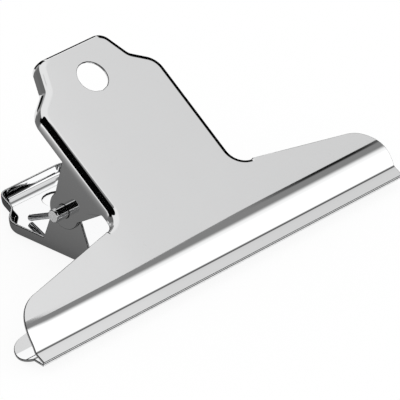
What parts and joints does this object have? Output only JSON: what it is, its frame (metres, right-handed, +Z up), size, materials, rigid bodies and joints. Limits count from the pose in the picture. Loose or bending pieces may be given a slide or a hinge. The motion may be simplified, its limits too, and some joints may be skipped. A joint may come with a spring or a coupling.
{
  "type": "bulldog clip",
  "caption": "T-shaped sprung letter clip of plated sheet steel: wide curved jaws, handles with turned-in rims and a hanging hole, ears on a pivot pin, and a torsion spring that closes it.",
  "frame": {"origin": "centre of the clip's footprint, on the floor that its rear plate lies on", "axes": "+X along the jaw, +Y towards the tips of the handles, +Z up from the rear plate's flat outer face"},
  "size_m": [0.125, 0.0672, 0.044],
  "materials": {
    "plate": "bright nickel plate on pressed sheet steel",
    "pin": "drawn steel rod, plated",
    "spring": "drawn spring wire, plated"
  },
  "bodies": {
    "rear": {"rear_plate": "plate", "pivot_pin": "pin", "spring": "spring"},
    "front": {"front_plate": "plate"}
  },
  "joints": [
    {"name": "jaw_hinge", "type": "hinge", "parent": "rear", "child": "front", "pos_m": [0, 0.00083, 0.01383], "axis": [-1, 0, 0], "range_deg": [0, 71], "stiffness_Nm_per_rad": 0.31, "springref_deg": -60.16, "deforming": ["spring"]}
  ]
}
